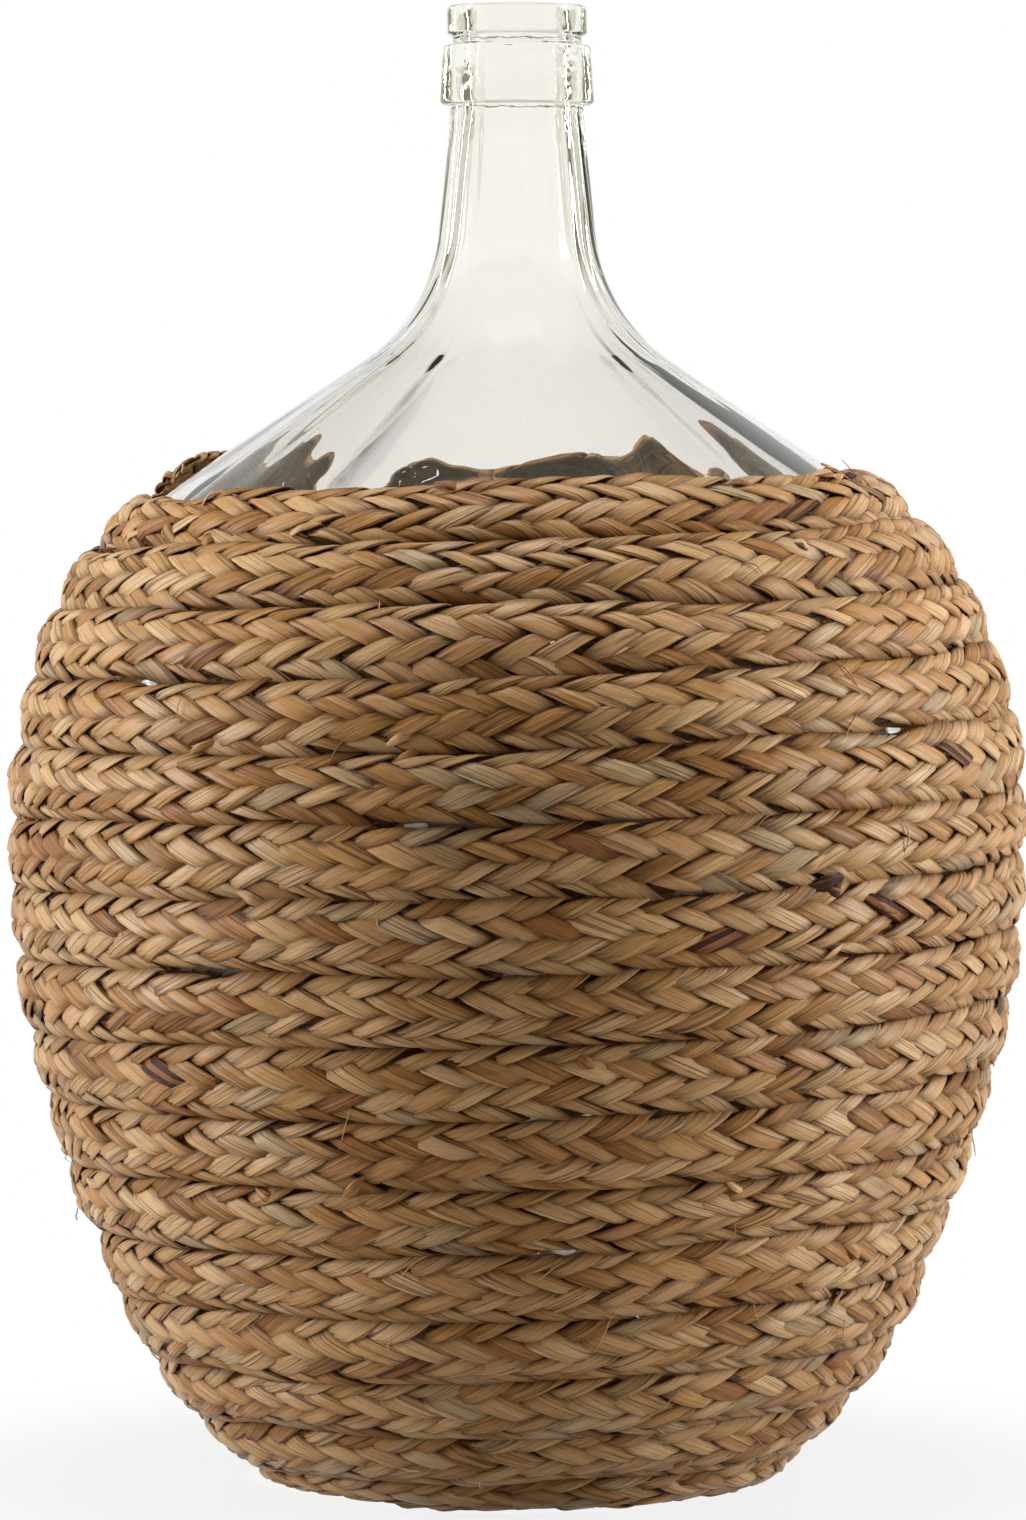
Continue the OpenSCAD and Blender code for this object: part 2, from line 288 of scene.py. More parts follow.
class Outline:
    """The side of the bottle as a chain of arcs and straights.

    Directions are angles: 0 outwards along the floor, 90 up, 180 inwards. A place
    on it is a distance along the side from the outer edge of the standing ring.
    """

    HEEL, FLANK, BELLY, CROWN, SLOPE, NECK = (math.radians(a) for a in (45, 70, 90, 104, 146.5, 95.5))

    def __init__(self, bottle):
        h = bottle.height
        heel, flank, straight, lower, upper, shoulder, throat = (
            share_of * h for share_of in (
                bottle.heel_share, bottle.flank_share, bottle.straight_share, bottle.lower_share,
                bottle.upper_share, bottle.shoulder_share, bottle.throat_share))
        legs = [
            (heel, 0.0, self.HEEL), (flank, self.HEEL, self.FLANK), (0.0, self.FLANK, straight),
            (lower, self.FLANK, self.BELLY), (upper, self.BELLY, self.CROWN),
            (shoulder, self.CROWN, self.SLOPE),
        ]
        to_belly = sum(self.travel(leg)[0] for leg in legs[:4])
        self.ring = bottle.belly - to_belly
        slope_x = self.ring + sum(self.travel(leg)[0] for leg in legs)
        slope_z = sum(self.travel(leg)[1] for leg in legs)
        self.neck_top = h - bottle.bore_height
        turn = self.SLOPE - self.NECK
        cut = throat * math.tan(turn / 2)
        apart_x = slope_x - bottle.neck
        apart_z = self.neck_top - slope_z
        slope = (apart_x * math.sin(self.NECK) + apart_z * math.cos(self.NECK)) / math.sin(turn) - cut
        neck = (-apart_z * math.cos(self.SLOPE) - apart_x * math.sin(self.SLOPE)) / math.sin(turn) - cut
        legs += [(0.0, self.SLOPE, slope), (-throat, self.SLOPE, self.NECK), (0.0, self.NECK, neck)]
        self.radius = np.array([leg[0] for leg in legs])
        self.start_a = np.array([leg[1] for leg in legs])
        lengths = [leg[2] if leg[0] == 0 else leg[0] * (leg[2] - leg[1]) for leg in legs]
        self.ends = np.cumsum(lengths)
        self.starts = self.ends - lengths
        moves = np.array([self.travel(leg) for leg in legs])
        self.from_xz = np.array([self.ring, 0.0]) + np.cumsum(moves, 0) - moves
        neck_wall = (bottle.neck - bottle.bore) / math.sin(self.NECK)
        body = bottle.body_wall
        self.wall_at = [0.0, self.ends[0], self.ends[4], self.ends[5], self.ends[6], self.ends[7]]
        self.wall_is = [bottle.base_wall, body, body, body + bottle.thickening, body, neck_wall]

    @staticmethod
    def travel(leg):
        """Travel outwards and upwards along one leg."""
        radius, first, last = leg
        if radius == 0:
            return last * math.cos(first), last * math.sin(first)
        return radius * (math.sin(last) - math.sin(first)), radius * (math.cos(first) - math.cos(last))

    def leg_at(self, distance):
        return np.clip(np.searchsorted(self.starts, distance, side="right") - 1, 0, len(self.starts) - 1)

    def lean(self, distance):
        """Direction of the side at a distance along it."""
        i = self.leg_at(distance)
        radius = self.radius[i]
        turned = (distance - self.starts[i]) / np.where(radius == 0, 1.0, radius)
        return self.start_a[i] + np.where(radius == 0, 0.0, turned)

    def at(self, distance, off=0.0):
        """Radius and height at a distance along the side, set out from the glass by off."""
        i = self.leg_at(distance)
        d = distance - self.starts[i]
        radius, first = self.radius[i], self.start_a[i]
        flat = radius == 0
        a = self.lean(distance)
        x = self.from_xz[i, 0] + np.where(flat, d * np.cos(first), radius * (np.sin(a) - np.sin(first)))
        z = self.from_xz[i, 1] + np.where(flat, d * np.sin(first), radius * (np.cos(first) - np.cos(a)))
        return x + off * np.sin(a), z - off * np.cos(a)

    def wall(self, distance):
        return np.interp(distance, self.wall_at, self.wall_is)


# Steps of a rounded corner and of the base, length of a step on the side, points down the mouth
CORNER_STEPS, BASE_STEPS, SIDE_STEP, MOUTH_POINTS = 6, 14, 0.0034, 12
# Rise of the collar's foot in collar heights, and the collar's radius at its top over that at its foot
COLLAR_RISE, COLLAR_TAPER = 0.12, 0.95


def rounded(corners, steps):
    """A chain of [radius, height, rounding] corners as points, each corner an arc."""
    points = []
    for before, here, after in zip(corners, corners[1:], corners[2:]):
        p0, p, p1 = (np.array(c[:2]) for c in (before, here, after))
        if here[2] == 0:
            points.append(p)
            continue
        u = (p0 - p) / np.linalg.norm(p0 - p)
        v = (p1 - p) / np.linalg.norm(p1 - p)
        half = math.acos(np.clip(u @ v, -1, 1)) / 2
        middle = p + (u + v) / np.linalg.norm(u + v) * here[2] / math.sin(half)
        start = p + u * here[2] / math.tan(half) - middle
        sweep = math.pi - 2 * half
        turn = 1 if u[0] * v[1] - u[1] * v[0] < 0 else -1
        for n in range(steps + 1):
            a = turn * sweep * n / steps
            c, s = math.cos(a), math.sin(a)
            points.append(middle + [start[0] * c - start[1] * s, start[0] * s + start[1] * c])
    return points


def finish_of(bottle, outline):
    """Collar, groove and lip, from the neck up and round into the mouth."""
    collar_z = outline.neck_top + COLLAR_RISE * bottle.collar_height
    groove_z = collar_z + bottle.collar_height
    small = bottle.edge / 2
    lip_z = bottle.height - bottle.lip_height
    floor = bottle.groove_height / 2
    return rounded([
        (bottle.neck, outline.neck_top - bottle.collar_height, 0),
        (bottle.neck, collar_z, small),
        (bottle.collar, collar_z, bottle.edge),
        (COLLAR_TAPER * bottle.collar, groove_z, small),
        (bottle.groove, groove_z + small, floor),
        (bottle.groove, lip_z - small, floor),
        (bottle.lip, lip_z, small),
        (bottle.lip, bottle.height, bottle.edge),
        (bottle.bore, bottle.height, small),
        (bottle.bore, outline.neck_top, 0),
    ], CORNER_STEPS)


def base_cap(outline, bottle, lift):
    """The pushed-up base, a cap of a sphere from the axis out to the standing ring."""
    reach = outline.ring - bottle.ring
    rise = bottle.push_up
    r = (reach * reach + rise * rise) / (2 * rise)
    a = np.linspace(0, math.asin(reach / r), BASE_STEPS + 1)
    return np.column_stack([r * np.sin(a), lift + rise - r * (1 - np.cos(a))])


def glass_profile(bottle, outline):
    """Half section of the glass, from the axis under the base round to the axis inside it."""
    stops = np.concatenate([[0.0], outline.ends])
    stations = [0.0]
    for low, high in zip(stops, stops[1:]):
        steps = max(2, math.ceil((high - low) / SIDE_STEP))
        stations += list(np.linspace(low, high, steps + 1)[1:])
    stations = np.array(stations)
    outside = np.column_stack(outline.at(stations))
    inside = np.column_stack(outline.at(stations, -outline.wall(stations)))
    straight = np.linspace(bottle.height - 2 * bottle.edge, outline.neck_top, MOUTH_POINTS)
    bore = np.column_stack([np.full(MOUTH_POINTS, bottle.bore), straight])
    return np.vstack([
        base_cap(outline, bottle, 0), outside, finish_of(bottle, outline), bore,
        inside[::-1], base_cap(outline, bottle, bottle.base_wall)[::-1]])


# Materials

class Socket:
    """Wraps a node's output, so that shader maths reads as ordinary expressions."""

    def __init__(self, nodes, output):
        self.nodes = nodes
        self.output = output

    def maths(self, kind, *others):
        return self.nodes.add("ShaderNodeMath", {"operation": kind}, self, *others)

    def __add__(self, other):
        return self.maths("ADD", other)

    def __sub__(self, other):
        return self.maths("SUBTRACT", other)

    def __rsub__(self, other):
        return self.nodes.add("ShaderNodeMath", {"operation": "SUBTRACT"}, other, self)

    def __mul__(self, other):
        return self.maths("MULTIPLY", other)

    def __truediv__(self, other):
        return self.maths("DIVIDE", other)

    def __pow__(self, other):
        return self.maths("POWER", other)

    __radd__ = __add__
    __rmul__ = __mul__

    def between(self, low, high):
        """0 below low, 1 above high, and smooth between."""
        return self.nodes.add(
            "ShaderNodeMapRange", {"interpolation_type": "SMOOTHSTEP"}, self, low, high)


class Nodes:
    """The node tree of one material or of the world."""

    def __init__(self, owner):
        owner.use_nodes = True
        self.tree = owner.node_tree
        self.tree.nodes.clear()

    def put(self, slot, value):
        """Links a socket into a slot, or sets a constant on it."""
        if isinstance(value, Socket):
            self.tree.links.new(value.output, slot)
        else:
            slot.default_value = value

    def add(self, kind, settings, *values, out=0, **named):
        node = self.tree.nodes.new(kind)
        for key, value in settings.items():
            if key == "stops":
                self.set_stops(node.color_ramp, value)
            else:
                setattr(node, key, value)
        for key, value in list(enumerate(values)) + list(named.items()):
            self.put(node.inputs[key if isinstance(key, int) else key.replace("_", " ")], value)
        return Socket(self, node.outputs[out]) if node.outputs else node

    @staticmethod
    def set_stops(ramp, stops):
        while len(ramp.elements) < len(stops):
            ramp.elements.new(0.5)
        for element, (place, tone) in zip(ramp.elements, stops):
            element.position = place
            element.color = (*tone, 1.0)

    def mix(self, factor, first, second, kind="MIX"):
        """Mixes two colours."""
        node = self.tree.nodes.new("ShaderNodeMix")
        node.data_type = "RGBA"
        node.blend_type = kind
        self.put(node.inputs[0], factor)
        for slot, value in ((node.inputs[6], first), (node.inputs[7], second)):
            self.put(slot, value if isinstance(value, Socket) else (*value, 1.0))
        return Socket(self, node.outputs[2])

    def vector(self, operation, *values, out=0):
        return self.add("ShaderNodeVectorMath", {"operation": operation}, *values, out=out)

    def split(self, vector):
        """The three parts of a vector."""
        node = self.tree.nodes.new("ShaderNodeSeparateXYZ")
        self.put(node.inputs[0], vector)
        return [Socket(self, part) for part in node.outputs]

    def noise(self, vector, scale, detail=2.0, roughness=0.5):
        return self.add(
            "ShaderNodeTexNoise", {}, Vector=vector, Scale=scale, Detail=detail, Roughness=roughness)

    def ray(self, kind):
        return self.add("ShaderNodeLightPath", {}, out=f"Is {kind} Ray")

    def surface(self, **shaders):
        self.add("ShaderNodeOutputMaterial", {}, **shaders)


def material(name):
    made = bpy.data.materials.new(name)
    return made, Nodes(made)


# Depths under the lip between which blown glass passes into the moulded neck
MOULDED_DEPTHS = (0.062, 0.044)


def glass_material(bottle):
    """Clear glass, faintly green where it is thick, rippled inside and wrinkled at the lip."""
    made, nodes = material("clear_glass")
    place = nodes.add("ShaderNodeTexCoord", {}, out="Object")
    inner = nodes.add("ShaderNodeAttribute", {"attribute_name": "inner"}, out="Fac")
    around = nodes.vector("NORMALIZE", nodes.vector("MULTIPLY", place, (1.0, 1.0, 0.0)))
    climb = nodes.vector("MULTIPLY", place, (0.0, 0.0, 2.0))
    streaks = nodes.noise(nodes.vector("ADD", around, climb), scale=3.0, detail=1.0, roughness=0.4)
    ripples = nodes.noise(place, scale=15.0, detail=1.0, roughness=0.4)
    moulded = nodes.split(place)[2].between(*(bottle.height - depth for depth in MOULDED_DEPTHS))
    wrinkles = nodes.noise(place, scale=120.0) * moulded
    height = (streaks + ripples * 0.5) * inner + wrinkles * 0.10
    bump = nodes.add("ShaderNodeBump", {}, Height=height, Strength=1.0, Distance=bottle.ripple)
    glass = nodes.add(
        "ShaderNodeBsdfPrincipled", {}, Normal=bump, Base_Color=(*bottle.tint, 1.0),
        Roughness=0.0, IOR=bottle.refraction, Transmission_Weight=1.0)
    clear = nodes.add("ShaderNodeBsdfTransparent", {}, Color=(*bottle.tint, 1.0))
    depth = nodes.add(
        "ShaderNodeVolumeAbsorption", {}, Color=(*bottle.depth_tint, 1.0), Density=bottle.depth_density)
    shader = nodes.add("ShaderNodeMixShader", {}, nodes.ray("Shadow"), glass, clear)
    nodes.surface(Surface=shader, Volume=depth)
    return made


def seagrass_material(plait):
    """Dry leaf: each stretch has its own tone, with fibres and veins along it, and painted shade where it
    lies deep in the weave.
    """
    made, nodes = material("seagrass")
    # The leaf attribute carries tone, hue and painted shade, which is 1 where unshaded.
    tone, hue, depth = nodes.split(
        nodes.add("ShaderNodeAttribute", {"attribute_name": "leaf"}, out="Vector"))
    uv = nodes.add("ShaderNodeUVMap", {"uv_map": "along_leaf"})

    def along_leaf(lengthwise, crosswise, detail, roughness):
        """Noise drawn out along the leaf, with features per metre each way."""
        place = nodes.vector("MULTIPLY", uv, (lengthwise, crosswise, 1.0))
        return nodes.noise(place, 1.0, detail, roughness)

    fibres = along_leaf(110.0, 2400.0, 2.0, 0.6)
    veins = along_leaf(40.0, 950.0, 2.0, 0.6)
    layers = along_leaf(4.5, 330.0, 1.0, 0.4)
    blotch = along_leaf(90.0, 260.0, 3.0, 0.65)
    step = layers.between(0.47, 0.53)
    toned = tone + (step - 0.5) * 0.16 + (veins - 0.5) * 0.34 + (blotch - 0.5) * 0.3
    stops = [
        (0.0, plait.dark), (0.06, plait.russet), (0.18, plait.brown), (0.48, plait.tan), (1.0, plait.straw)]
    shown = nodes.add("ShaderNodeValToRGB", {"stops": stops}, toned)
    # Painted shade: a dark line along the split where the two layers of a leaf meet.
    split = (1 - (layers - 0.5).maths("ABSOLUTE").between(0.006, 0.022)) * 0.6
    shown = nodes.mix(hue.between(0.70, 0.95) * 0.6, shown, plait.khaki)
    shown = nodes.mix((1 - hue.between(0.0, 0.24)) * 0.5, shown, plait.russet)
    shown = nodes.mix(blotch.between(0.60, 0.78) * 0.5, shown, plait.russet)
    shown = nodes.mix(fibres.between(0.42, 0.66) * 0.34, shown, plait.vein, "MULTIPLY")
    shown = nodes.mix(split, shown, plait.dark)
    # Painted shade: darkened towards the dark colour where the leaf lies deep in the weave.
    shown = nodes.mix(depth, plait.dark, shown)
    relief = fibres * 0.35 + veins * 0.8 + step * 0.5
    bump = nodes.add("ShaderNodeBump", {}, Height=relief, Strength=0.9, Distance=0.0008)
    # The coat's sheen fades with the painted shade, so that the deep gaps hold no reflection.
    sheen = depth ** 2 * (0.15 + toned.between(0.15, 0.6) * 0.38)
    shader = nodes.add(
        "ShaderNodeBsdfPrincipled", {}, Base_Color=shown, Roughness=0.66 - veins * 0.28, Normal=bump,
        IOR=1.45, Specular_IOR_Level=0.12, Coat_Weight=sheen, Coat_Roughness=0.42)
    nodes.surface(Surface=shader)
    return made


def glue_material(glue):
    """Set glue, milky with paler clouds."""
    made, nodes = material("hot_glue")
    place = nodes.add("ShaderNodeTexCoord", {}, out="Object")
    milk = nodes.mix(nodes.noise(place, scale=400.0).between(0.3, 0.7), glue.milk, glue.cloud)
    shader = nodes.add(
        "ShaderNodeBsdfPrincipled", {}, Base_Color=milk, Roughness=0.16, IOR=1.48,
        Transmission_Weight=0.35, Coat_Weight=0.4)
    nodes.surface(Surface=shader)
    return made


# The plait

class Winding:
    """Places on the wound plait: along it, across it and out from the glass, in metres."""

    # Seam and direction in degrees of each gap that shows glass, and the gaps' half length in turns
    OPENINGS = [
        (5, 276), (6, 290), (6, 301), (7, 273), (9, 233), (11, 246), (11, 262), (12, 318), (13, 222),
        (8, 120), (10, 40), (5, 80), (12, 150),
    ]
    OPENING_REACH = 0.012
    # Turn, half length in turns, and how far the plait, its upper edge or a seam is moved there
    BULGES = [
        (15.03, 0.016, 0.0040), (15.075, 0.010, 0.0018), (9.30, 0.02, 0.0008), (15.37, 0.012, 0.0022)]
    STANDING_EDGES = [(15.645, 0.030, 0.0090), (15.76, 0.050, -0.0034)]
    TOP_STRAYS = [
        (16.03, 0.05, -0.0042), (16.27, 0.075, 0.0048), (15.03, 0.05, -0.0018), (15.27, 0.075, 0.0018)]
    UPRIGHT = math.pi / 2
    FLARE_LEAN = 0.5
    LEAST_OUT = 0.00035

    def __init__(self, bottle, plait, outline):
        self.plait = plait
        self.outline = outline
        self.pitch = plait.width + plait.turn_gap
        wound = plait.wound_share * bottle.height + plait.turn_gap / 2 - plait.first_seam
        self.turns = wound / self.pitch - 1
        self.turn_table = np.linspace(-0.05, self.turns + 0.05, 8000)
        rng = np.random.default_rng(plait.seed)
        self.seam_turns = seams = np.linspace(-0.1, self.turns + 1.2, 12000)
        stray = 0.6 * wandering(rng, seams, 0.11) + 0.4 * wandering(rng, seams, 0.037)
        self.seam_strays = stray * plait.wander
        for middle, reach, rise in self.TOP_STRAYS:
            self.seam_strays += rise * hump(seams, middle, reach)
        slack = -0.6 + 3.2 * wandering(rng, seams, 0.06) ** 3 + 0.5 * wandering(rng, seams, 0.017)
        self.seam_gaps = plait.turn_gap * slack
        for seam_no, degrees in self.OPENINGS:
            there = seam_no + (math.radians(degrees) - plait.start_angle) / TAU
            self.seam_gaps += plait.opening * hump(seams, there, self.OPENING_REACH)
        middle = (self.low(self.turn_table) + self.high(self.turn_table)) / 2
        radius = outline.at(middle, plait.seat)[0]
        steps = np.diff(self.turn_table) * TAU * (radius[1:] + radius[:-1]) / 2
        self.length_table = np.concatenate([[0.0], np.cumsum(steps)])
        self.length_table -= np.interp(0.0, self.turn_table, self.length_table)
        self.length = self.along_at(self.turns)
        self.places = np.linspace(0, self.length, 9000)
        self.strays = [size * wandering(rng, self.places, step) for size, step in (
            (plait.swell, 0.035), (plait.curl_stray, 0.045), (plait.curl_stray, 0.045),
            (plait.spine_stray, 0.055))]

    def seam(self, turns):
        stray = np.interp(turns, self.seam_turns, self.seam_strays)
        return self.plait.first_seam + self.pitch * turns + stray

    def gap(self, turns):
        return np.interp(turns, self.seam_turns, self.seam_gaps)

    def low(self, turns):
        return np.maximum(self.seam(turns) + self.gap(turns) / 2, self.plait.first_edge)

    def high(self, turns):
        return self.seam(turns + 1) - self.gap(turns + 1) / 2

    def turn_at(self, along):
        return np.interp(along, self.length_table, self.turn_table)

    def along_at(self, turns):
        return np.interp(turns, self.turn_table, self.length_table)

    def point(self, along, across, out):
        """Points for arrays of places. across runs from 0 at the lower edge to 1."""
        plait = self.plait
        turns = self.turn_at(along)
        low, high = self.low(turns), self.high(turns)
        up = np.clip(across, 0, 1)
        swell, low_curl, high_curl, spine = (
            np.interp(along, self.places, strays) for strays in self.strays)
        across = across + spine / plait.width * 4 * up * (1 - up)
        out = out - plait.camber * (2 * up - 1) ** 2 + swell
        out = out + low_curl * (1 - up) ** 2
        out = out + high_curl * up ** 2
        lean = self.outline.lean((low + high) / 2) - self.UPRIGHT
        out = out + plait.flare * np.clip(lean / self.FLARE_LEAN, -0.7, 1) * (up - 0.5)
        for middle, reach, height in self.BULGES:
            out = out + height * hump(turns, middle, reach) * (0.4 + 0.6 * up)
        for middle, reach, height in self.STANDING_EDGES:
            out = out + height * hump(turns, middle, reach) * up ** 2
        r, z = self.outline.at(low + across * (high - low), np.maximum(out, self.LEAST_OUT))
        a = plait.start_angle + TAU * turns
        return np.stack([r * np.cos(a), r * np.sin(a), z], -1)


def winding_of(scene):
    return Winding(scene.bottle, scene.plait, Outline(scene.bottle))


def eased(values, place, first, last):
    """Values at whole places, joined by smooth steps between first and last of the way."""
    i = np.clip(np.floor(place).astype(int), 0, len(values) - 2)
    part = smooth(np.clip((place - i - first) / (last - first), 0, 1))
    return values[i] * (1 - part) + values[i + 1] * part


class Strand:
    """One strand of the plait: a flat leaf that runs slantwise and folds back at each edge.

    One run from edge to edge is a leg, and odd legs run down. A leg crosses seven
    others and shows twice, in the middle and at its last edge. Each showing is a
    stretch with its own draws, which change where the strand is hidden. A ring lies
    level across the leaf, so that the folds fall between rings.
    """

    CELLS = 7
    OVER_UNDER = np.array([-1, -1, 1, 1, -1, -1, 1, 1, 1], float)
    # Cells of a leg, and the number of the stretch there
    STRETCH_CELLS = [0, 0.4, 1, 4.2, 4.8, 7]
    STRETCH_NUMBERS = [0, 0, 1, 1, 2, 2]
    ACROSS = np.array([-1, -0.86, -0.55, 0.0, 0.55, 0.86, 1, 0.86, 0.55, 0.0, -0.55, -0.86])[None, :]
    FACE = np.array([0, 1, 1, 1, 1, 1, 0, -1, -1, -1, -1, -1], float)[None, :]
    STATIONS = np.array([
        0, 0.011, 0.022, 0.035, 0.06, 0.11, 0.16, 0.20, 0.25, 0.30, 0.35, 0.40, 0.45, 0.50, 0.55, 0.60,
        0.64, 0.69, 0.73, 0.77, 0.81, 0.85, 0.89, 0.925, 0.955, 0.972, 0.982, 0.991])
    # Reaches of a fold: where a strand comes clear, narrows, has its corner tucked in, and lies flat
    CLEAR_REACH, NARROW_REACH, TUCK_REACH, FLAT_REACH = 0.006, 0.008, 0.007, 0.003
    TUCK_FROM = 0.45
    # Strays of a whole stretch in width, along the plait and in lift
    WIDTH_STRAY, SHIFT_STRAY, LIFT_STRAY = 0.25, 0.0014, 0.35
    # Strays within a stretch in width and thickness, and the height of small wrinkles
    WIDTH_WAVE, THICKNESS_WAVE, WRINKLE = 0.08, 0.15, 0.00012
    # The plait's ends: how far they are drawn in, to which place across, width and height
    END_REACH, END_ACROSS, END_WIDTH, END_OUT = 0.022, 0.42, 0.35, 0.42
    END_EASE = 0.006
    # Length of a leaf, shares of dull and of stained stretches, and the tone of a stain
    LEAF_LENGTH, DULL_SHARE, STAINED_SHARE, STAIN_TONE = 0.31, 0.09, 0.003, 0.02
    # Turn and place across of the stains that stand out
    STAINS = [(9.328, 0.8), (9.272, 0.5), (15.388, 0.85)]

    def __init__(self, winding, number):
        self.winding = winding
        self.plait = plait = winding.plait
        self.number = number
        self.rng = np.random.default_rng([plait.seed, number])
        run = plait.period / 2
        shift = number * plait.period / plait.strands
        first_leg = -int(shift / run) - 2
        legs = int((winding.length - shift) / run) + 3 - first_leg
        folds = shift + run * (np.arange(legs + 1) + first_leg)
        folds = folds + plait.fold_stray * self.rng.uniform(-1, 1, legs + 1)
        leg = np.repeat(np.arange(legs), len(self.STATIONS))
        part = np.tile(self.STATIONS, legs)
        centre = folds[leg] * (1 - part) + folds[leg + 1] * part
        inside = (centre > 0) & (centre < winding.length)
        self.leg, self.part, self.centre = leg[inside], part[inside], centre[inside]
        self.down = (self.leg + first_leg) % 2 == 1
        self.slope = np.arctan2(plait.width, np.diff(folds))[self.leg]
        stretch = np.interp(self.CELLS * self.part, self.STRETCH_CELLS, self.STRETCH_NUMBERS)
        self.place = 2 * self.leg + stretch
        self.stretches = 2 * legs + 3
        self.reaches = plait.fold_reach * self.rng.uniform(-0.5, 1, legs + 1)

    def draw(self, low=-1.0, high=1.0):
        """A value for each ring that is steady over a stretch."""
        values = self.rng.uniform(low, high, self.stretches)
        return np.interp(self.place, np.arange(self.stretches), values)

    def stray(self, step):
        return wandering(self.rng, self.centre, step)

    def points(self):
        """Corners of the rings, and the leaf's own lengths at them."""
        plait, c = self.plait, self.ACROSS
        coming = self.part > 0.5
        from_fold = np.where(coming, 1 - self.part, self.part) * plait.width
        covered = 0.5 - 0.5 * eased(self.OVER_UNDER, self.CELLS * self.part, 0.1, 0.9)
        covered = covered * np.clip(from_fold / self.CLEAR_REACH, 0, 1)
        folded = np.clip(1 - from_fold / self.NARROW_REACH, 0, 1) ** 2
        stray = self.WIDTH_STRAY * self.draw() + self.WIDTH_WAVE * self.stray(0.013)
        width = plait.leaf_width * (1 + stray)
        width = width * (1 - plait.pinch * covered) * (1 - plait.fold_pinch * folded)
        aside = (width / 2 / np.sin(self.slope))[:, None] * c
        along = (self.centre + self.SHIFT_STRAY * self.draw())[:, None] + aside
        for sign, limit in ((1, self.winding.length - self.END_EASE), (-1, -self.END_EASE)):
            excess = np.maximum(0, sign * along - limit)
            along = along - sign * (excess - self.END_EASE * (1 - np.exp(-excess / self.END_EASE)))
        cell = self.CELLS * self.part[:, None] + aside * plait.strands / plait.period
        self.level = eased(self.OVER_UNDER, np.clip(cell, 0, self.CELLS), 0.14, 0.86)

        roll = plait.lift
        quarter = math.pi / 2 * roll
        way = np.where(coming, -1, 1)
        turn = np.clip(math.pi / 2 + way * from_fold / roll, 0, math.pi)
        inset = roll + plait.leaf_thickness / 2
        squeeze = (plait.width / 2 - inset) / (plait.width / 2 - quarter)
        in_from_edge = inset + np.maximum(from_fold - quarter, 0) * squeeze - roll * np.sin(turn)
        near = (np.clip(1 - from_fold / self.TUCK_REACH, 0, 1) ** 2)[:, None]
        reach = self.reaches[self.leg + coming][:, None]
        tuck = plait.fold_round * ((c - self.TUCK_FROM) / (1 + self.TUCK_FROM)) ** 2
        in_from_edge = in_from_edge[:, None] + near * (tuck - reach)
        rolled = from_fold < quarter
        lift = (plait.lift * (1 + self.LIFT_STRAY * self.draw()))[:, None]
        out = np.where(rolled[:, None], (roll * np.cos(turn))[:, None], lift * self.level)

        side = np.where(self.down, -1.0, 1.0)
        upper_edge = coming != self.down
        across = np.where(upper_edge[:, None], plait.width - in_from_edge, in_from_edge)
        thick = (plait.leaf_thickness / 2 * (1 + self.THICKNESS_WAVE * self.stray(0.03)))[:, None]
        body = thick * (1 - np.abs(c) ** 5) ** 0.5 * self.FACE
        fold_cos = np.where(rolled, np.cos(turn) * -way, 1.0)
        fold_sin = np.where(rolled, np.sin(turn) * -way, 0.0) * np.where(upper_edge, 1, -1)
        away = np.clip(from_fold / self.FLAT_REACH, 0, 1)
        tilt = (side * (plait.shingle + plait.tilt_stray * self.draw()) * away)[:, None] * c
        arch = (plait.arch * self.draw(0, 1) * away)[:, None] * (1 - c * c)
        wrinkle = (self.WRINKLE * self.stray(0.0035) * away)[:, None]
        groove = (plait.crease * self.draw() * away)[:, None] * (c == 0)
        ridge = (plait.crease * self.draw() * away)[:, None] * 2 * c * (1 - c * c)
        out = out + tilt + arch + wrinkle + groove + ridge + body * (side * fold_cos)[:, None]
        across = across + body * (side * fold_sin)[:, None]

        from_end = np.minimum(self.centre, self.winding.length - self.centre)[:, None]
        self.drawn = drawn = smooth(np.clip(from_end / self.END_REACH, 0, 1))
        end = plait.width * self.END_ACROSS
        across = end + (across - end) * (self.END_WIDTH + (1 - self.END_WIDTH) * drawn)
        out = (plait.seat + out) * (self.END_OUT + (1 - self.END_OUT) * drawn)
        points = self.winding.point(along, across / plait.width, out)
        self.across = np.clip(across, 0, plait.width)

        step = np.diff(self.centre, prepend=self.centre[0]) / np.cos(self.slope)
        lengthwise = (3.0 * self.number + np.cumsum(step))[:, None] + aside * np.cos(self.slope)[:, None]
        crosswise = aside * np.sin(self.slope)[:, None] + 0.05 * np.round(self.place)[:, None]
        return points, np.stack([lengthwise, crosswise], -1)

    def stained(self):
        """Stretches that show at the places of the darkest leaves."""
        middle = self.ACROSS.shape[1] // 4
        found = []
        for turns, across in self.STAINS:
            along = self.winding.along_at(turns)
            apart = np.hypot(self.centre - along, self.across[:, middle] - across * self.plait.width)
            apart = apart + (self.level[:, middle] < 0.6)
            if apart.min() < self.plait.leaf_width * 0.55:
                found.append(round(self.place[np.argmin(apart)]))
        return found

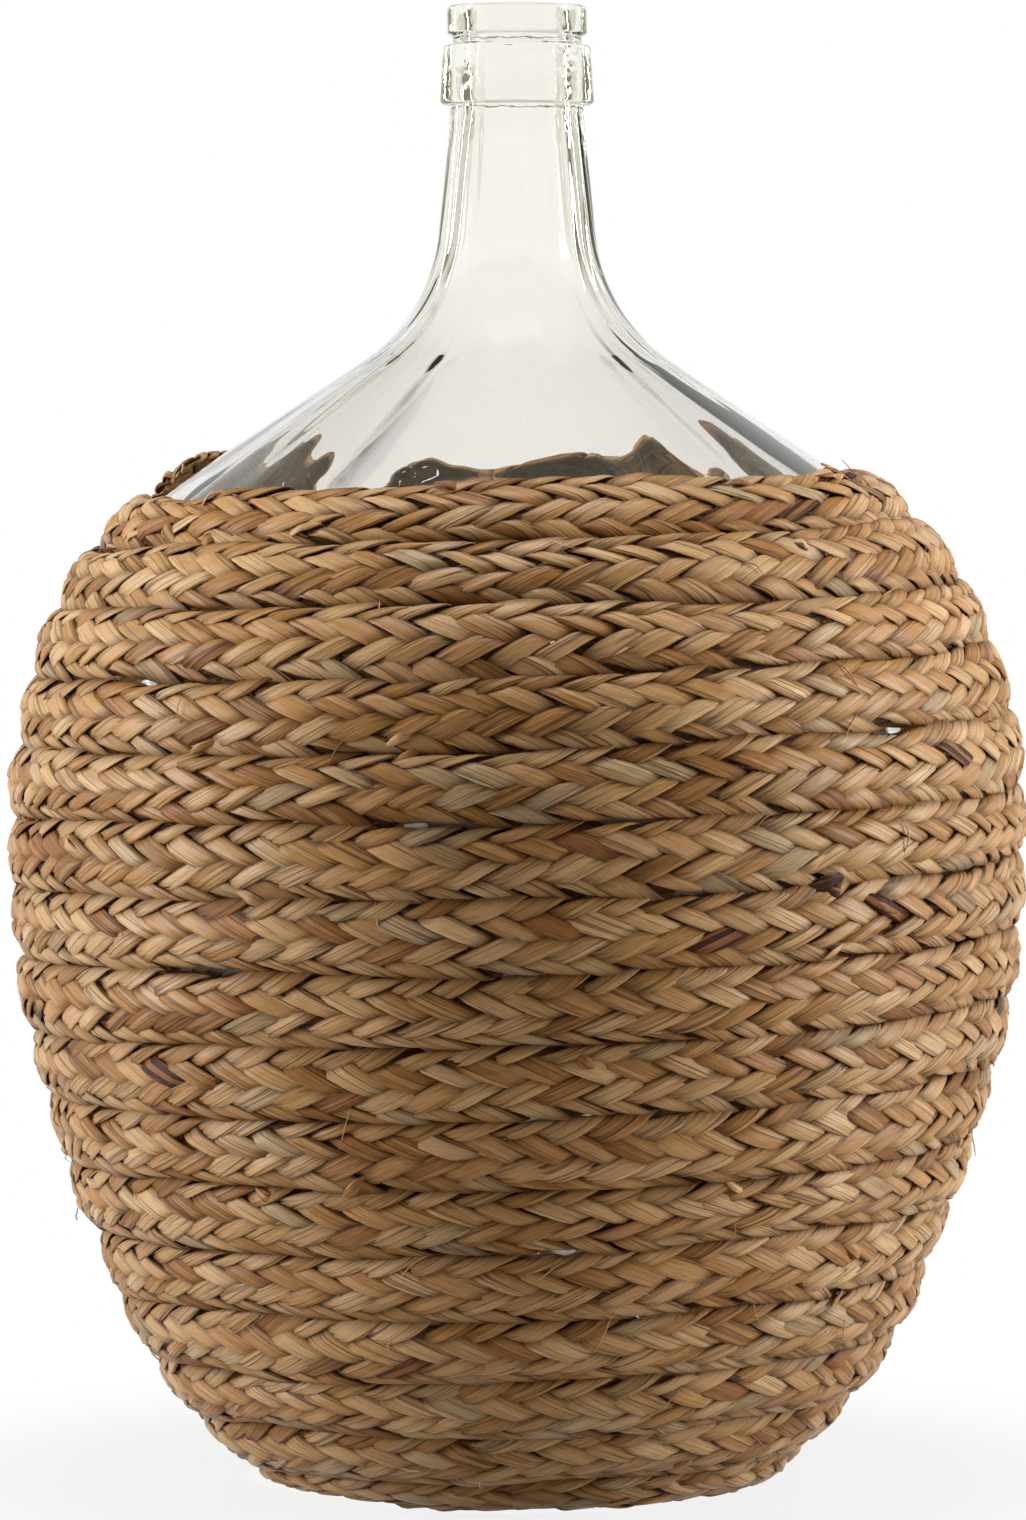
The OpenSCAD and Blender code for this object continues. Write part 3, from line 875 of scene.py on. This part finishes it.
    def tones(self):
        """Tone and hue of each stretch, and painted shade at each corner, darker where it lies deep in the
        weave.
        """
        nearest = np.round(self.place).astype(int)
        draws = self.rng.uniform(0, 1, (self.stretches, 3))[nearest]
        leaf_no = np.floor(self.centre / self.LEAF_LENGTH + 0.5 * self.stray(0.4)).astype(int)
        leaves = self.rng.uniform(0, 1, (leaf_no.max() + 2, 2))[leaf_no]
        tone = 0.22 + 0.76 * (0.30 * leaves[:, 0] + 0.70 * draws[:, 0])
        tone = np.where(draws[:, 2] < self.DULL_SHARE, 0.5 * tone, tone)
        stained = (draws[:, 2] < self.STAINED_SHARE) | np.isin(nearest, self.stained())
        tone = np.where(stained, self.STAIN_TONE, tone)
        hue = 0.3 * leaves[:, 1] + 0.7 * draws[:, 1]
        side = np.where(self.down, -1.0, 1.0)[:, None]
        hidden_face = self.FACE * side < 0
        # Painted shade: a corner is darker where its strand dips under others, along the leaf's edge that
        # is sunk under the next leaf, and near the seams. The faces towards the glass get none, and it
        # fades out at the plait's drawn-in ends.
        seen = 0.5 + 0.5 * self.level * np.where(hidden_face, -1, 1)
        sunk_edge_shade = np.clip((-self.ACROSS * side - 0.5) / 0.5, 0, 1)
        seam_shade = np.abs(2 * self.across / self.plait.width - 1) ** 6
        depth = (0.12 + 0.88 * seen) * (1 - 0.75 * sunk_edge_shade) * (1 - 0.60 * seam_shade)
        depth = np.where(hidden_face, 1.0, 1 - (1 - depth) * self.drawn)
        same = np.ones(self.ACROSS.size)
        return np.stack([tone[:, None] * same, hue[:, None] * same, depth], -1)


class LooseLeaf:
    """A loose end or fibre that lies on the plait along a bent line and tapers to its tips."""

    ACROSS = np.array([-1, -0.6, 0, 0.6, 1, 0.6, 0, -0.6])[None, :]
    FACE = np.array([0, 0.8, 1, 0.8, 0, -0.8, -1, -0.8])[None, :]
    RINGS = 12
    HALF_THICKNESS = 0.0006

    def __init__(self, winding, turns, across, heading, bend, length, width, heights, tone, hue=0.4):
        way = np.linspace(0, 1, self.RINGS)
        aim = np.radians(heading + bend * (way - 0.5))[:, None]
        step = length / (self.RINGS - 1)
        along = winding.along_at(turns) + np.cumsum(np.cos(aim), 0) * step
        up = across * winding.plait.width + np.cumsum(np.sin(aim), 0) * step
        out = np.interp(way, np.linspace(0, 1, len(heights)), heights)[:, None]
        taper = np.sin(math.pi * np.clip(way, 0.03, 0.97))[:, None] ** 0.6
        aside = width / 2 * taper * self.ACROSS
        body = min(width / 2, self.HALF_THICKNESS) * taper ** 0.5 * self.FACE
        self.points = winding.point(
            along + aside * np.sin(aim), (up - aside * np.cos(aim)) / winding.plait.width, out + body)
        lengthwise = 70 + 13 * turns + way[:, None] * length + 0 * aside
        self.uv = np.stack([lengthwise, aside + 0.11 * turns], -1)
        same = np.ones_like(aside)
        self.leaf = np.stack([tone * same, hue * same, same], -1)


def leaf_piece(name, tubes):
    """One mesh of closed tubes. Each tube is its corners, lengths along the leaf, and its tone, hue and
    painted shade.
    """
    points, lengths, tones, faces = [], [], [], []
    first = 0
    for corners, uv, leaf in tubes:
        faces.append(tube_faces(*corners.shape[:2]) + first)
        first += corners.shape[0] * corners.shape[1]
        points.append(corners.reshape(-1, 3))
        lengths.append(uv.reshape(-1, 2))
        tones.append(leaf.reshape(-1, 3))
    piece = new_piece(name, np.concatenate(points), np.concatenate(faces))
    mesh = piece.data
    layer = mesh.attributes.new("leaf", "FLOAT_VECTOR", "POINT")
    layer.data.foreach_set("vector", np.concatenate(tones).astype(np.float32).ravel())
    corners = np.empty(len(mesh.loops), np.int32)
    mesh.loops.foreach_get("vertex_index", corners)
    layer = mesh.uv_layers.new(name="along_leaf")
    layer.data.foreach_set("uv", np.concatenate(lengths)[corners].astype(np.float32).ravel())
    return piece


# Operators

class LatheBottle(bpy.types.Operator):
    """Spins the half section of the bottle into blown glass"""
    bl_idname = "bottle.lathe"
    bl_label = "Glass bottle"

    STEPS = 192
    MERGE = 0.00002
    # Waves round the glass, radians per metre of height, start in radians and weight
    BROAD = [(2, 17, 0.8, 1.0), (3, -23, 1.3, 0.8), (5, 31, 0.0, 0.7), (8, -12, 2.2, 0.5)]
    FINE = [(17, 9, 1.1, 1.0), (23, -14, 0.0, 1.0), (31, 40, 0.6, 0.8), (11, 95, 2.0, 0.8)]

    def execute(self, context):
        bottle = context.scene.bottle
        outline = Outline(bottle)
        points = [(r, 0.0, z) for r, z in glass_profile(bottle, outline)]
        mesh = bpy.data.meshes.new("bottle_glass")
        mesh.from_pydata(points, [(i, i + 1) for i in range(len(points) - 1)], [])
        piece = bpy.data.objects.new("bottle_glass", mesh)
        context.scene.collection.objects.link(piece)
        select(piece)
        bpy.ops.object.mode_set(mode="EDIT")
        bpy.ops.mesh.select_all(action="SELECT")
        bpy.ops.mesh.spin(
            steps=self.STEPS, angle=TAU, center=(0, 0, 0), axis=(0, 0, 1), use_auto_merge=False)
        bpy.ops.mesh.select_all(action="SELECT")
        bpy.ops.mesh.remove_doubles(threshold=self.MERGE)
        bpy.ops.mesh.normals_make_consistent(inside=False)
        bpy.ops.object.mode_set(mode="OBJECT")
        self.blow(piece.data, bottle, outline)
        bpy.ops.object.shade_smooth()
        finish_piece(piece, "clear_glass", glass_material(bottle), "glass_bottle")
        return {"FINISHED"}

    @staticmethod
    def waves(table, a, z):
        """The waves of a table together, between -1 and 1."""
        total = sum(weight * np.sin(times * a + rise * z + start) for times, rise, start, weight in table)
        return total / sum(row[-1] for row in table)

    def blow(self, mesh, bottle, outline):
        """Blown glass is a little uneven, more so inside and less so in the lip, neck and base."""
        co = corners_of(mesh)
        r = np.hypot(co[:, 0], co[:, 1])
        a = np.arctan2(co[:, 1], co[:, 0])
        z = co[:, 2]
        stations = np.linspace(0, outline.ends[-1], 900)
        side_r, side_z = outline.at(stations, -outline.wall(stations) / 2)
        inside = np.clip((np.interp(z, side_z, side_r) - r) / 0.001, 0, 1)
        free = np.clip((bottle.height - 0.016 - z) / 0.03, 0, 1) * np.clip(z / 0.05, 0, 1)
        narrow = np.clip(r / 0.05, 0.3, 1)
        broad, fine = (self.waves(table, a, z) for table in (self.BROAD, self.FINE))
        move = bottle.wave * free * narrow * (0.12 * broad + inside * (broad + 0.10 * fine))
        co[:, :2] *= (1 + move / np.maximum(r, 0.01))[:, None]
        mesh.vertices.foreach_set("co", co.ravel())
        walls = mesh.attributes.new("inner", "FLOAT", "POINT")
        walls.data.foreach_set("value", inside * free * narrow)
        mesh.update()


class WindPlait(bpy.types.Operator):
    """Weaves seven strands into a flat plait that winds round the bottle"""
    bl_idname = "bottle.wind_plait"
    bl_label = "Seagrass plait"

    def execute(self, context):
        plait = context.scene.plait
        winding = winding_of(context.scene)
        grass = seagrass_material(plait)
        for number in range(plait.strands):
            strand = Strand(winding, number)
            corners, uv = strand.points()
            piece = leaf_piece(f"seagrass_strand_{number + 1}", [(corners, uv, strand.tones())])
            finish_piece(piece, "seagrass", grass, *(["plaited_cord"] if number == 0 else []))
        return {"FINISHED"}


class LayLooseLeaves(bpy.types.Operator):
    """Lays the tucked tips, dark knots and loose fibres on the plait"""
    bl_idname = "bottle.lay_loose_leaves"
    bl_label = "Loose leaf ends"

    # Turn, place across, heading and bend in degrees, length, width, heights over the glass, tone
    ENDS = [
        (15.005, 0.30, 62, -30, 0.020, 0.0070, (0.0050, 0.0092, 0.0060), 0.60),
        (15.046, 0.52, -38, 30, 0.017, 0.0050, (0.0050, 0.0088, 0.0060), 0.30),
        (15.062, 0.60, 34, -30, 0.015, 0.0048, (0.0056, 0.0092, 0.0060), 0.58),
        (15.398, 0.90, 172, -26, 0.026, 0.0052, (0.0052, 0.0076, 0.0088), 0.50),
        (15.372, 0.72, 160, 20, 0.014, 0.0050, (0.0056, 0.0090, 0.0076), 0.72),
        (15.384, 0.86, 20, 40, 0.008, 0.0036, (0.0076, 0.0092, 0.0076), 0.02),
        (10.299, -0.02, 10, -16, 0.015, 0.0056, (0.0072, 0.0094, 0.0080), 0.02),
        (10.304, 0.03, -16, 20, 0.011, 0.0048, (0.0076, 0.0098, 0.0080), 0.04),
        (9.318, 0.86, -20, 8, 0.019, 0.0040, (0.0060, 0.0090, 0.0070), 0.03),
        (10.166, 0.10, -78, 16, 0.015, 0.0006, (0.0080, 0.0098, 0.0084), 0.95),
        (4.975, 0.40, 205, -30, 0.018, 0.0006, (0.0074, 0.0110, 0.0125), 0.85),
    ]
    TIPS = 54
    FIBRES = 110
    FROM_ENDS = 0.3

    def execute(self, context):
        winding = winding_of(context.scene)
        turns = (self.FROM_ENDS, winding.turns - self.FROM_ENDS)
        rng = np.random.default_rng(winding.plait.seed + 9)
        loose = [LooseLeaf(winding, *end) for end in self.ENDS]
        for number in range(self.TIPS):
            upper = number % 2 == 0
            across = rng.uniform(0.72, 0.9) if upper else rng.uniform(0.1, 0.28)
            heading = (-24 if upper else 24) + 180 * rng.integers(0, 2) * 1.0 + rng.uniform(-12, 12)
            heights = (0.0052, rng.uniform(0.0078, 0.0088), rng.uniform(0.0060, 0.0090))
            loose.append(LooseLeaf(
                winding, rng.uniform(*turns), across, heading, rng.uniform(-30, 30),
                rng.uniform(0.009, 0.016), rng.uniform(0.0026, 0.0048), heights, rng.uniform(0.2, 0.9),
                rng.uniform(0, 0.8)))
        for _ in range(self.FIBRES):
            heights = (0.0066, rng.uniform(0.0080, 0.0096), rng.uniform(0.0066, 0.0106))
            loose.append(LooseLeaf(
                winding, rng.uniform(*turns), rng.uniform(-0.05, 1.05), rng.uniform(0, 360),
                rng.uniform(-60, 60), rng.uniform(0.006, 0.020), rng.uniform(0.0003, 0.0006), heights,
                rng.uniform(0.5, 1.0)))
        piece = leaf_piece("loose_leaf_ends", [(leaf.points, leaf.uv, leaf.leaf) for leaf in loose])
        finish_piece(piece, "seagrass", bpy.data.objects["seagrass_strand_1"].active_material)
        return {"FINISHED"}


class DabGlue(bpy.types.Operator):
    """Sets dabs of glue on the glass under the seams"""
    bl_idname = "bottle.dab_glue"
    bl_label = "Dabs of glue"

    # Seam and direction in degrees. Each has a second dab one turn up and half way round
    PLACES = [
        (2, 274), (5, 276), (6, 287), (6, 301), (7, 271), (7, 278),
        (11, 246), (11, 259), (12, 318), (13, 222), (13, 313),
    ]

    def execute(self, context):
        glue = context.scene.glue
        winding = winding_of(context.scene)
        rng = np.random.default_rng(winding.plait.seed + 5)
        dabs = []
        for seam_no, degrees in self.PLACES:
            dabs.append(self.dab(winding, glue, rng, seam_no, math.radians(degrees)))
            dabs.append(self.dab(winding, glue, rng, seam_no + 1, math.radians(degrees + 180)))
        select(*dabs)
        bpy.ops.object.join()
        piece = dabs[0]
        piece.name = piece.data.name = "glue_beads"
        bpy.ops.object.shade_smooth()
        finish_piece(piece, "hot_glue", glue_material(glue), "glue_dabs")
        return {"FINISHED"}

    def dab(self, winding, glue, rng, seam_no, a):
        """One dab: a ball drawn out along the seam and pressed flat on the glass."""
        bpy.ops.mesh.primitive_ico_sphere_add(subdivisions=3, radius=1.0, location=(0, 0, 0))
        ball = bpy.context.object
        x, y, z = corners_of(ball.data).T
        middle = winding.seam(seam_no + (a - winding.plait.start_angle) / TAU)
        swell = 1 + 0.22 * np.sin(2.3 * x + rng.uniform(0, 6)) + 0.12 * np.sin(5 * y)
        across = y * glue.dab_width / 2 * swell
        out = glue.dab_gap + (z + 1) / 2 * glue.dab_height * swell
        r, z = winding.outline.at(middle + across, out)
        a = a + x * glue.dab_length / 2 / winding.outline.at(middle)[0]
        points = np.column_stack([r * np.cos(a), r * np.sin(a), z])
        ball.data.vertices.foreach_set("co", points.ravel())
        ball.data.update()
        return ball


class SetStage(bpy.types.Operator):
    """Lays the floor and sets the lamps and the camera"""
    bl_idname = "bottle.set_stage"
    bl_label = "Floor, lamps and camera"

    # Name, place, width and height, the setting of its power, and whether the glass shows it
    LAMPS = [
        ("side_lamp_left", (-1.5, -0.22, 0.5), (0.55, 1.4), "side_light", False),
        ("side_lamp_right", (1.5, -0.22, 0.5), (0.55, 1.4), "side_light", False),
        ("top_lamp", (0, 0, 2.2), (1.2, 1.2), "top_light", False),
        ("strip_lamp_left", (-1.23, 0.86, 0.6), (0.06, 1.0), "strip_light", True),
        ("strip_lamp_right", (1.23, 0.86, 0.6), (0.06, 1.0), "strip_light", True),
    ]
    LAMP_AIM = 0.28
    FILM_WIDTH = 36
    FOOT_SHADE = 0.16

    def execute(self, context):
        stage = context.scene.bottle_stage
        self.floor(stage)
        self.world(context.scene, stage)
        matt = bpy.data.collections.new("all_but_the_glass")
        for piece in context.scene.objects:
            if piece.name != "bottle_glass":
                matt.objects.link(piece)
        for name, place, size, power, shown in self.LAMPS:
            lamp = self.lamp(context.scene, name, place, size, getattr(stage, power))
            if not shown:
                lamp.light_linking.receiver_collection = matt
        self.camera(context.scene, stage)
        context.scene.view_settings.view_transform = "Standard"
        return {"FINISHED"}

    def floor(self, stage):
        """A floor that is white to the camera, but for its shading at the bottle's foot."""
        bpy.ops.mesh.primitive_plane_add(size=stage.floor_size, location=(0, 0, 0))
        floor = bpy.context.object
        floor.name = floor.data.name = "pale_floor"
        made, nodes = material("pale_floor")
        plain = nodes.add("ShaderNodeBsdfDiffuse", {}, Color=(*stage.floor_colour, 1.0))
        white = nodes.add("ShaderNodeEmission", {}, Color=(1, 1, 1, 1), Strength=1.0)
        place = nodes.add("ShaderNodeTexCoord", {}, out="Object")
        away = nodes.vector("LENGTH", place, out="Value").between(0.17, 0.31)
        factor = self.seen_directly(nodes) * (1 - self.FOOT_SHADE + away * self.FOOT_SHADE)
        nodes.surface(Surface=nodes.add("ShaderNodeMixShader", {}, factor, plain, white))
        floor.data.materials.append(made)

    @staticmethod
    def seen_directly(nodes):
        """1 for what the camera sees, also by way of glass."""
        seen = (nodes.ray("Camera") + nodes.ray("Glossy")).maths("MAXIMUM", nodes.ray("Transmission"))
        return seen.maths("MINIMUM", 1.0)

    def world(self, scene, stage):
        """White behind the bottle; in reflections dimmer above, beside and in front of it."""
        world = bpy.data.worlds.new("plain_world")
        scene.world = world
        nodes = Nodes(world)
        seen = self.seen_directly(nodes)
        x, y, z = nodes.split(nodes.add("ShaderNodeTexCoord", {}, out="Generated"))
        aside = x * x / (x * x + y * y)
        wings = aside.between(0.05, 0.22) * 0.42 + aside.between(0.42, 0.52) * 0.58
        wings = wings * (1 - aside.between(0.84, 0.90))
        wings = wings * z.between(-0.10, -0.04) * (1 - z.between(0.25, 0.45))
        front = (1 - y.between(-0.7, 0.15)) * (1 - z.between(0.35, 0.8))
        dim = z.between(0.30, 0.85) * (1 - stage.ceiling) + front * (1 - stage.front)
        dim = dim.maths("MAXIMUM", wings * (1 - stage.wings))
        white = 1 - dim * (1 - nodes.ray("Camera"))
        strength = seen * (white - stage.world_light) + stage.world_light
        shown = nodes.mix(1 - white, (1.0, 1.0, 1.0), stage.shade)
        tint = nodes.mix(seen, stage.world_colour, shown)
        sky = nodes.add("ShaderNodeBackground", {}, tint, strength)
        nodes.add("ShaderNodeOutputWorld", {}, Surface=sky)

    def lamp(self, scene, name, place, size, watts):
        data = bpy.data.lights.new(name, "AREA")
        data.shape = "RECTANGLE"
        data.size, data.size_y = size
        data.energy = watts
        lamp = bpy.data.objects.new(name, data)
        lamp.location = place
        lamp.rotation_euler = self.facing(np.array([0, 0, self.LAMP_AIM]) - place)
        lamp.visible_camera = False
        scene.collection.objects.link(lamp)
        return lamp

    @staticmethod
    def facing(direction):
        return Vector(direction).to_track_quat("-Z", "Y").to_euler()

    def camera(self, scene, stage):
        data = bpy.data.cameras.new("camera")
        data.lens = stage.lens
        data.sensor_width = self.FILM_WIDTH
        camera = bpy.data.objects.new("camera", data)
        camera.location = (stage.aside, -stage.distance, stage.eye)
        camera.rotation_euler = self.facing((0, stage.distance, stage.aim - stage.eye))
        scene.collection.objects.link(camera)
        scene.camera = camera


class BottlePanel(bpy.types.Panel):
    """Lists the pieces of the bottle"""
    bl_idname = "VIEW3D_PT_plaited_bottle"
    bl_label = "Plait-wrapped bottle"
    bl_space_type = "VIEW_3D"
    bl_region_type = "UI"
    bl_category = "Bottle"

    def draw(self, context):
        for made in PIECES:
            self.layout.operator(made.bl_idname)


PIECES = (LatheBottle, WindPlait, LayLooseLeaves, DabGlue, SetStage)
SETTINGS = {
    "bottle": BottleSettings, "plait": PlaitSettings, "glue": GlueSettings, "bottle_stage": StageSettings}
CLASSES = (*SETTINGS.values(), *PIECES, BottlePanel)


def register():
    for made in CLASSES:
        bpy.utils.register_class(made)
    for name, group in SETTINGS.items():
        setattr(bpy.types.Scene, name, PointerProperty(type=group))


def unregister():
    for name in SETTINGS:
        delattr(bpy.types.Scene, name)
    for made in reversed(CLASSES):
        bpy.utils.unregister_class(made)


def main():
    register()
    bpy.ops.bottle.lathe()
    bpy.ops.bottle.wind_plait()
    bpy.ops.bottle.lay_loose_leaves()
    bpy.ops.bottle.dab_glue()
    bpy.ops.bottle.set_stage()


if __name__ == "__main__":
    main()
